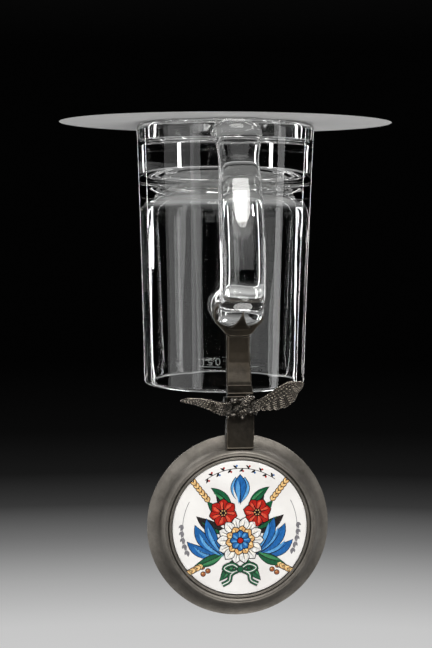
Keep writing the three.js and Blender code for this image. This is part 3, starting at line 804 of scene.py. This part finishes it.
def tiles_over(centre, radii, rows, count, low, high, width, length):
    """Rows of small feathers over an ellipsoid, from its lower part to its crown."""
    shapes = []
    for row in range(rows):
        rise = math.radians(low + (high - low) * row / (rows - 1))
        around = max(3, round(count * math.cos(rise)))
        for k in range(around):
            turn = 2 * math.pi * (k + 0.5 * (row % 2)) / around
            way = np.array((math.cos(rise) * math.cos(turn), math.cos(rise) * math.sin(turn), math.sin(rise)))
            at = np.array(centre) + way * np.array(radii) * 0.98
            shapes.append(tile(at, way / np.array(radii), width, length))
    return shapes


def eagle_shapes():
    """Body, neck and turned head in their feathers, the feet with their claws, the tail and the wings."""
    seat = EAGLE_SEAT
    body, body_size = (0, -0.3, seat + EAGLE_HEIGHT * 0.42), (4.7, 3.2, EAGLE_HEIGHT * 0.46)
    neck, neck_size = (-1.4, -2.7, seat + EAGLE_HEIGHT * 0.66), (2.4, 2.3, 3)
    head_z = seat + EAGLE_HEIGHT - 2.2
    head, head_size = (-2.9, -4.4, head_z), (2.1, 1.8, 1.7)
    eye_size = (0.5, 0.45, 0.4)
    beak = ball((-4.8, -4.5, head_z - 0.3), (1.5, 0.85, 0.75))
    beak_hook = ball((-6.0, -4.5, head_z - 0.9), (0.65, 0.55, 1.0))
    eyes = [ball((-3.5, y, head_z + 0.7), eye_size) for y in (-3.0, -5.9)]
    tail = ball((0, 3.6, seat + 1.3), (1.5, 2.6, 1.0), -16)
    shoulder = ball((3.2, -4.2, seat + 5.2), (2.2, 1.6, 2.0))
    perch = ball((0, -1, seat + 0.9), (5.6, 3.6, 2))
    shapes = [ball(body, body_size), ball(neck, neck_size), ball(head, head_size)]
    shapes += [beak, beak_hook, *eyes, tail, shoulder, perch]
    shapes += tiles_over(body, body_size, 8, 18, -30, 80, 1.45, 1.9)
    shapes += tiles_over(neck, neck_size, 5, 11, 0, 76, 1.15, 1.5)
    shapes += tiles_over(head, head_size, 3, 9, 10, 75, 0.9, 1.2)
    foot_out = 4.2
    for side in (-1, 1):
        shapes.append(ball((foot_out * side, 1.5, seat + 1.9), (3.5, 2.3, 2.3)))
        for toe in (-2.4, 0, 2.4):
            shapes.append(ball(((foot_out + toe) * side, 2.6, seat + 1.3), (1.15, 1.7, 1.45), -14))
            claw = ((foot_out + toe * 1.04) * side, 4.1, seat + 0.65)
            shapes.append(ball(claw, (0.5, 0.8, 0.65), -38))
    shapes.append(wing(1, slim_wing, **SLIM_WING))
    shapes.append(wing(-1, broad_wing, **BROAD_WING))
    return shapes


def thumblift(finish):
    points, faces = gathered(eagle_shapes())
    x, y, z = points.T
    over_pad = (np.abs(x) < STRAP_PAD_SIDE) & (y > STRAP_PAD_FRONT) & (y < STRAP_PAD_BACK)
    z = np.where(over_pad, np.maximum(z, EAGLE_SEAT), z)
    x, y = rolled(x, y, THUMBLIFT_TWIST)
    points = np.stack([x, y, z], 1)
    mesh = cast(bare_mesh("eagle", opened(points), faces), grain=0.17, softness=1)
    set_piece("spread_eagle", mesh, finish, "lid", ["thumblift_eagle"], 60)


# The lid, about its own axis over the rim plane
def lid_face():
    roll = LID_RADIUS - CREST_RADIUS
    return evenly(
        [
            (LID_RADIUS, LIP_THICKNESS),
            (LID_RADIUS - roll * 0.15, LIP_THICKNESS + 0.7),
            (CREST_RADIUS + roll * 0.6, CREST_HEIGHT * 0.39),
            (CREST_RADIUS + roll * 0.38, CREST_HEIGHT * 0.6),
            (CREST_RADIUS + roll * 0.19, CREST_HEIGHT * 0.86),
            (CREST_RADIUS, CREST_HEIGHT),
            (SEAT_RADIUS + CREST_INSET * 0.26, CREST_HEIGHT - 0.35),
            (SEAT_RADIUS, CREST_HEIGHT - 0.8),
        ],
        60,
    )


def lid_piece(name, profile, finish, node, sharp=35):
    points, faces = turned(profile, 180)
    mesh = bare_mesh(name, on_open_lid(points), faces)
    set_piece(name, mesh, finish, "lid", [node], sharp)


def lid_pieces(metal, porcelain, plaster):
    seat_top = SEAT_FLOOR_HEIGHT + SEAT_FLOOR
    inner = LINER_RADIUS + SEAT_GAP
    rounding = 0.45
    ring = [
        (inner, 0),
        *arc(LID_RADIUS - rounding, rounding, rounding, 270, 360, 5),
        *lid_face(),
        (SEAT_RADIUS, seat_top),
        (SEAT_RADIUS - SEAT_LIP, seat_top),
        (SEAT_RADIUS - SEAT_LIP, SEAT_FLOOR_HEIGHT),
        (inner, SEAT_FLOOR_HEIGHT),
    ]
    lid_piece("lid_rim", ring, metal, "lid_ring")
    half = BEZEL_WIDTH / 2
    low = INLAY_RADIUS + SEAT_GAP
    rubbed_over = arc(low + half, INLAY_EDGE, half, 0, 180, 12)
    bezel = [(low, BED_BOTTOM), (BEZEL_RADIUS, BED_BOTTOM), *rubbed_over]
    lid_piece("rubbed_bezel", bezel, metal, "inlay_bezel", 50)
    edge = 0.5
    crown = [(r, crown_height(r)) for r in np.linspace(INLAY_RADIUS - edge, 0, 28)]
    disc = [
        (0, INLAY_BOTTOM),
        (INLAY_RADIUS - edge, INLAY_BOTTOM),
        (INLAY_RADIUS, INLAY_BOTTOM + edge),
        *arc(INLAY_RADIUS - edge, INLAY_EDGE - edge, edge, 0, 80, 5),
        *crown,
    ]
    lid_piece("porcelain_disc", disc, porcelain, "porcelain_inlay", 50)
    top = SEAT_FLOOR_HEIGHT - SEAT_GAP
    bottom = top - LINER_THICKNESS
    flange = CENTRING_RADIUS - CENTRING_FLANGE
    fillet = 0.8
    liner = [
        (0, bottom),
        *[(r, bottom) for r in np.linspace(3, flange - 1, 9)],
        *arc(flange - fillet, bottom - fillet, fillet, 90, 0, 4),
        *arc(flange + edge, edge - CENTRING_DEPTH, edge, 180, 270, 4),
        *arc(CENTRING_RADIUS - edge, edge - CENTRING_DEPTH, edge, 270, 360, 4),
        (CENTRING_RADIUS, bottom),
        (LINER_RADIUS, bottom),
        (LINER_RADIUS, top),
        (0, top),
    ]
    lid_piece("pewter_liner", liner, metal, "lid_liner")
    bed = INLAY_RADIUS - BED_INSET
    bed_top = BED_BOTTOM + BED_THICKNESS
    soft = 0.2
    plaster_bed = [
        (0, BED_BOTTOM),
        (bed, BED_BOTTOM),
        *arc(bed - soft, bed_top - soft, soft, 0, 90, 3),
        (0, bed_top),
    ]
    lid_piece("plaster_bed", plaster_bed, plaster, "inlay_bed")


# The painting, in millimetres on the porcelain: right and up as it is seen with the lid hanging open
def crown_height(radius):
    return INLAY_EDGE + INLAY_CROWN * (1 - (radius / INLAY_RADIUS) ** 2)


def on_porcelain(right, up, lift):
    return -right, -up, crown_height(math.hypot(right, up)) + lift


def on_wall(right, up, lift):
    angle = right / wall_radius(up)
    out = wall_radius(up) + lift
    return out * math.sin(angle), AXIS_Y - out * math.cos(angle), up


class Painting:
    """Strips of paint on a face. A strip is its two sides; a higher level covers a lower one."""

    def __init__(self, face, step=0.012, root=-0.05):
        self.face = face
        self.step = step
        self.root = root
        self.paints = {}

    def lay(self, paint, strip, level=0):
        left, right = strip
        outline = [*left, *list(right)[::-1]]
        count = len(outline)
        points, faces = self.paints.setdefault(paint, ([], []))
        start = len(points)
        for lift in ((level + 1) * self.step, self.root):
            points += [self.face(u, v, lift) for u, v in outline]
        for i in range(len(left) - 1):
            across = (i, i + 1, count - 2 - i, count - 1 - i)
            faces.append(tuple(start + k for k in across))
            faces.append(tuple(start + count + k for k in across[::-1]))
        for k in range(count):
            n = (k + 1) % count
            faces.append((start + k, start + n, start + count + n, start + count + k))


def beyond(at, angle, by):
    """The point that lies by from another, in the direction of an angle in degrees."""
    heading = math.radians(angle)
    return at[0] + by * math.cos(heading), at[1] + by * math.sin(heading)


def leaf(at, angle, length, width, bend, belly=0.45):
    """A leaf or petal from its stalk, its heading in degrees, turned by bend along its length."""
    heading = math.radians(angle)
    u, v = at
    power = math.log(0.5) / math.log(belly)
    left, right = [], []
    steps = 12
    for i in range(steps + 1):
        half = width / 2 * math.sin(math.pi * (i / steps) ** power)
        left.append((u - half * math.sin(heading), v + half * math.cos(heading)))
        right.append((u + half * math.sin(heading), v - half * math.cos(heading)))
        u += length / steps * math.cos(heading)
        v += length / steps * math.sin(heading)
        heading += math.radians(bend) / steps
    return left, right


def directions(line):
    """The way that a line runs at each of its points."""
    along = np.gradient(line, axis=0)
    return along / np.linalg.norm(along, axis=1)[:, None]


def stroke(line, width):
    """A brush line of even width."""
    line = np.array(line, float)
    along = directions(line)
    side = np.stack([-along[:, 1], along[:, 0]], 1) * width / 2
    return (line + side).tolist(), (line - side).tolist()


def dot(at, radius):
    turns = np.linspace(0, 180, 9)
    return [beyond(at, t, radius) for t in turns], [beyond(at, -t, radius) for t in turns]


def painted_leaf(art, paint, light, at, angle, length, width, bend, belly, level):
    """A leaf with a dark contour, its colour, a lighter half and a dark rib."""
    contour = 0.36
    back = beyond(at, angle, -contour)
    art.lay("black", leaf(back, angle, length + 2.2 * contour, width + 2 * contour, bend, belly), level)
    art.lay(paint, leaf(at, angle, length, width, bend, belly), level + 1)
    beside = beyond(at, angle + 90, width * 0.14)
    art.lay(light, leaf(beside, angle + 2, length * 0.82, width * 0.36, bend, belly), level + 2)
    if width > 3:
        art.lay("black", leaf(at, angle, length * 0.9, 0.5, bend, 0.3), level + 2)


def bloom(art, at, petals, length, width, paint, light, level, turn, hollow):
    """A ring of petals: every second one lies over its neighbours."""
    for i in range(petals):
        angle = turn + 360 * i / petals
        root = beyond(at, angle, hollow * length)
        over = level + 3 * (i % 2)
        painted_leaf(art, paint, light, root, angle, length * (1 - hollow), width, 0, 0.62, over)


def ear(art, at, angle, length, level):
    """An ear of wheat: grains in pairs along a stalk."""
    art.lay("brown", stroke([at, beyond(at, angle, length)], 0.4), level)
    for i in range(6):
        foot = beyond(at, angle, (0.42 + 0.1 * i) * length)
        over = level + 3 * (i % 2)
        for side in (-1, 1):
            painted_leaf(art, "gold", "yellow", foot, angle + side * 30, 2.6, 1.1, -side * 14, 0.5, over)


def garland(art):
    """A thin tendril with small leaves and berries that follows the upper edge."""
    radius = 28.6
    art.lay("black", stroke([beyond((0, 0), turn, radius) for turn in np.linspace(54, 126, 40)], 0.32))
    for i, turn in enumerate(np.linspace(57, 123, 12)):
        at = beyond((0, 0), turn, radius)
        out = -1 if i % 2 else 1
        art.lay("black", leaf(at, turn + 90 - 52 * out, 2.5, 1.0, 26 * out))
        art.lay("red" if i % 3 else "blue", dot(beyond(at, turn, 1.3 * out), 0.48))


# The bouquet's long leaves on its right side: two paints, stalk, heading, length, width, bend, belly and level
LONG_LEAVES = [
    ("blue", "light_blue", (7.5, -13), -8, 20, 4.6, 62, 0.6, 0),
    ("blue", "light_blue", (7.5, -13), 22, 21, 5.2, 52, 0.6, 3),
    ("blue", "light_blue", (7.5, -13), 48, 20, 4.6, 34, 0.6, 6),
    ("green", "light_green", (5, 4), 28, 14, 4.2, 26, 0.5, 0),
    ("green", "light_green", (4, 9), 62, 14.5, 3.8, -34, 0.5, 3),
    ("green", "light_green", (8, -12), -34, 15, 4.4, 24, 0.5, 3),
    ("green", "light_green", (3, -15), -66, 12.5, 4.0, 20, 0.5, 6),
    ("dark", "green", (6, -2), 12, 17, 5.0, 34, 0.5, 0),
    ("dark", "green", (3, 6), 44, 15, 4.4, 26, 0.5, 0),
]


def bouquet():
    """A symmetric bunch as country painters lay it out, each side the other's mirror."""
    art = Painting(on_porcelain)
    garland(art)
    for side in (-1, 1):
        def turned_over(angle):
            return angle if side > 0 else 180 - angle
        for paint, light, (u, v), angle, length, width, bend, belly, level in LONG_LEAVES:
            heading = turned_over(angle)
            painted_leaf(art, paint, light, (u * side, v), heading, length, width, bend * side, belly, level)
        ear(art, (9.5 * side, 6), turned_over(52), 21, 3)
        ear(art, (13 * side, -15), turned_over(-28), 13.6, 3)
        for u, v in ((15.5, -20.5), (18.2, -18.6), (17.8, -22)):
            art.lay("black", dot((u * side, v), 1.35), 0)
            art.lay("brown", dot((u * side, v), 1.05), 1)
            art.lay("gold", dot((u * side - 0.3, v + 0.35), 0.36), 2)
        stem = [beyond((0, 0), turned_over(a), 27.6) for a in np.linspace(28, -22, 24)]
        art.lay("grey", stroke(stem, 0.3), 0)
        for k in range(5):
            at = stem[23 - 3 * k]
            art.lay("grey", leaf(at, turned_over(-112 + 8 * k), 3.3, 1.6, 24 * side), 1)
            art.lay("grey", leaf(at, turned_over(-58 + 8 * k), 2.6, 1.2, -24 * side), 1)
        poppy = (8.2 * side, 7.4)
        bloom(art, poppy, 7, 6.6, 4.6, "red", "light_red", 9, 13 * side, 0.12)
        art.lay("black", dot(poppy, 1.9), 15)
        for k in range(6):
            art.lay("gold", dot(beyond(poppy, 60 * k, 1.15), 0.32), 16)
    for k, bend in ((-1, 30), (1, -30)):
        painted_leaf(art, "light_blue", "white", (0, 12), 90 + 24 * k, 12.5, 4.6, bend, 0.55, 6)
    painted_leaf(art, "blue", "light_blue", (0, 11.5), 90, 14, 5.6, 0, 0.6, 9)
    centre = (0, -6)
    bloom(art, centre, 14, 11.2, 4.6, "white", "cream", 12, 0, 0.3)
    bloom(art, centre, 10, 7.0, 3.6, "gold", "yellow", 18, 9, 0.3)
    bloom(art, centre, 8, 4.9, 3.0, "blue", "light_blue", 24, 0, 0.2)
    art.lay("black", dot(centre, 1.7), 31)
    art.lay("red", dot(centre, 1.25), 32)
    knot = (0, -20)
    for side in (-1, 1):
        tail = evenly([knot, (4.5 * side, -22.5), (5.2 * side, -25.5), (8.6 * side, -27.5)], 16)
        loop = evenly([knot, (4 * side, -17.6), (7.8 * side, -19.4), (4.2 * side, -21.4), knot], 22)
        for line in (tail, loop):
            art.lay("black", stroke(line, 2.5), 18)
            art.lay("green", stroke(line, 1.8), 19)
            art.lay("white", stroke(line, 0.4), 20)
    art.lay("black", dot(knot, 1.7), 21)
    art.lay("green", dot(knot, 1.3), 22)
    return art


PAINTS = {
    "black": (26, 23, 24),
    "blue": (34, 98, 164),
    "light_blue": (92, 158, 212),
    "green": (24, 88, 56),
    "light_green": (62, 132, 84),
    "dark": (40, 36, 36),
    "red": (172, 34, 26),
    "light_red": (214, 82, 60),
    "gold": (222, 172, 112),
    "yellow": (240, 212, 150),
    "brown": (150, 84, 48),
    "grey": (122, 120, 124),
    "white": (232, 230, 226),
    "cream": (246, 240, 228),
}


def paint_lid():
    for paint, (points, faces) in bouquet().paints.items():
        name = f"enamel_{paint}"
        mesh = bare_mesh(name, on_open_lid(points), faces)
        set_piece(name, mesh, enamel(name, *PAINTS[paint]), "lid", (), 30)


def fill_mark(finish):
    """The fill line and its plain half-litre figure, ground into the wall beside the shank."""
    def oval(centre, across, up, turns):
        return [(centre[0] + across * math.cos(t), centre[1] + up * math.sin(t)) for t in turns]
    lines = [
        [(-12, 0), (-6.5, 0)],
        [(6.5, 0), (18, 0)],
        oval((8.2, -2.6), 1.0, 1.65, np.linspace(0, 2 * math.pi, 24)),
        [(10.1, -4.0), (9.8, -4.9)],
        [(12.9, -1.0), (11.3, -1.0)],
        [(11.3, -1.0), (11.15, -2.3)],
        oval((12.0, -3.1), 1.0, 1.1, np.linspace(2.3, -2.3, 14)),
        [(15.4, -1.0), (15.4, -4.3)],
    ]
    art = Painting(on_wall, 0.02, -0.02)
    for line in lines:
        art.lay("mark", stroke([(right, FILL_HEIGHT + up) for right, up in line], MARK_WIDTH))
    points, faces = art.paints["mark"]
    set_piece("fill_mark", bare_mesh("fill_mark", points, faces), finish, "mug", (), 30)


def dress(node, finish):
    """A small turned piece keeps its solid, with its corners broken."""
    piece = frame["nodes"][node]
    coat(piece.data, finish, 35)
    corner = piece.modifiers.new("corner", "BEVEL")
    corner.width = BROKEN_CORNER * mm
    corner.segments = 3
    corner.limit_method = "ANGLE"


# The studio. A light: turn and rise in degrees from the camera's own direction, distance, width and height in
# metres, and brightness
FLAT_LIGHTS = {
    "left_outline_strip": (161, 4, 1.0, 0.03, 0.9, 4),
    "right_outline_strip": (-161, 4, 1.0, 0.03, 0.9, 4.5),
    "left_edge_strip": (124, 4, 1.0, 0.03, 0.9, 8),
    "right_edge_strip": (-124, 4, 1.0, 0.03, 0.9, 8),
    "left_card": (62, 4, 1.1, 0.9, 0.9, 0.9),
    "left_window": (38, 4, 1.2, 0.28, 1.0, 1.6),
    "right_card": (-76, 4, 1.1, 0.22, 0.9, 2.6),
    "front_card": (-8, -22, 1.3, 1.1, 0.7, 0.7),
}
WARM = (1, 0.99, 0.97)
ROUND_LIGHTS = {
    "round_key_below": (-15, -48, 1.0, 0.44, 0.36, 11, WARM),
    "round_key_halo": (-13, -46, 1.05, 0.8, 0.7, 0.9, WARM),
    "round_spark_left": (54, -34, 1.0, 0.06, 0.06, 130),
    "round_spark_right": (-38, -40, 1.0, 0.06, 0.06, 130),
    "round_fill_above": (-18, 52, 1.0, 0.5, 0.4, 6, WARM),
    "round_back_left": (142, -42, 1.1, 0.5, 0.5, 12),
    "round_back_right": (-152, -38, 1.1, 0.3, 0.3, 14),
}
LIGHTS_AIM = 100

# The world's brightness from straight down to straight up: dark at eye level, light higher up
SKY = [
    (0.0, 0.16), (0.2, 0.3), (0.3, 0.3), (0.36, 0.06), (0.41, 0.003), (0.44, 0.0008), (0.56, 0.0008),
    (0.587, 0.003), (0.602, 0.009), (0.613, 0.035), (0.627, 0.17), (0.64, 0.37), (0.655, 0.56), (0.67, 0.6),
    (0.71, 0.45), (0.8, 0.24), (1.0, 0.08),
]
FLOOR_RADIUS = 85
FLOOR_DROP = 0.2


def softbox(name, shape, turn, rise, distance, width, height, glow, tint=(1, 1, 1)):
    """A soft light that is aimed at the stein."""
    lamp = bpy.data.lights.new(name, "AREA")
    lamp.shape = shape
    lamp.size, lamp.size_y = width, height
    lamp.energy = glow * math.pi * width * height
    lamp.color = tint
    light = new_object(name, lamp)
    azimuth = math.radians(CAMERA_AZIMUTH + turn)
    rise = math.radians(rise)
    flat = math.cos(rise)
    away = Vector((math.sin(azimuth) * flat, -math.cos(azimuth) * flat, math.sin(rise)))
    middle = Vector((0, AXIS_Y, LIGHTS_AIM)) * mm
    light.location = middle + away * distance
    light.rotation_euler = (-away).to_track_quat("-Z", "Y").to_euler()


def studio():
    world = bpy.data.worlds.new("studio")
    bpy.context.scene.world = world
    sky = Finish("studio", world)
    way = sky.add("ShaderNodeTexCoord", out="Generated")
    height = sky.add("ShaderNodeSeparateXYZ", {}, {"Vector": way}, "Z")
    tone = sky.ramp(height * 0.5 + 0.5, SKY)
    light = sky.add("ShaderNodeBackground", {}, {"Color": tone, "Strength": 1.0})
    sky.add("ShaderNodeOutputWorld", {}, {"Surface": light})

    paint = Finish("pale_floor")
    tone = paint.ramp(paint.noise(paint.place(), 30, 3), [(0.3, 0.62), (0.7, 0.68)])
    at = (0, AXIS_Y * mm, -FLOOR_DROP * mm)
    bpy.ops.mesh.primitive_circle_add(vertices=128, radius=FLOOR_RADIUS * mm, fill_type="NGON", location=at)
    floor = bpy.context.object
    floor.name = "pale_floor"
    floor.data.materials.append(paint.surface(base_color=tone, roughness=0.6))

    for shape, lights in (("RECTANGLE", FLAT_LIGHTS), ("ELLIPSE", ROUND_LIGHTS)):
        for name, light in lights.items():
            softbox(name, shape, *light)


def camera():
    # Turned over, as the stein is in the picture: the picture's top is the stein's foot
    azimuth, yaw, pitch = (math.radians(v) for v in (CAMERA_AZIMUTH, CAMERA_YAW, CAMERA_PITCH))
    beside, ahead = CAMERA_DISTANCE * math.sin(azimuth), -CAMERA_DISTANCE * math.cos(azimuth)
    eye = Vector((beside, AXIS_Y + ahead, CAMERA_HEIGHT)) * mm
    level = Vector((-math.sin(azimuth + yaw), math.cos(azimuth + yaw), 0))
    ahead = level * math.cos(pitch) + Vector((0, 0, 1)) * math.sin(pitch)
    up = level * math.sin(pitch) - Vector((0, 0, 1)) * math.cos(pitch)
    right = ahead.cross(up)
    roll = Matrix.Rotation(math.radians(CAMERA_ROLL), 4, "Z")
    data = bpy.data.cameras.new("camera")
    data.sensor_width = SENSOR_WIDTH
    data.lens = FOCAL_LENGTH
    view = new_object("camera", data)
    view.matrix_world = Matrix.Translation(eye) @ Matrix((right, up, -ahead)).transposed().to_4x4() @ roll
    bpy.context.scene.camera = view


grey_pewter = pewter(
    "grey_pewter", colour(98, 94, 88), colour(130, 125, 118), 0.44, 0.56, turned_about=LID_CENTRE
)
# The dark pewter is painted nearly black about the hinge pin, as painted shade in the recess there
dark_pewter = pewter(
    "dark_pewter", colour(44, 41, 37), colour(72, 67, 60), 0.34, 0.5, worn=0.5, painted_shade_about=PIN_CENTRE
)
eagle_pewter = pewter(
    "eagle_pewter", colour(37, 35, 32), colour(82, 78, 73), 0.14, 0.28, worn=1.0, chased=0.12
)
steel = pewter("steel_pin", colour(140, 140, 142), colour(158, 158, 160), 0.25, 0.35)

glass_mug(clear_glass())
fill_mark(ground_glass())
for node in ("handle_collar", "hinge_shank"):
    casting(node, dark_pewter, "mug")
casting("lid_strap", dark_pewter, "lid")
thumblift(eagle_pewter)
for node in ("pin_cap_left", "pin_cap_right"):
    dress(node, dark_pewter)
dress("hinge_pin", steel)
lid_pieces(grey_pewter, white_porcelain(), bed_plaster())
paint_lid()

studio()
camera()
bpy.context.scene.view_settings.view_transform = "Standard"
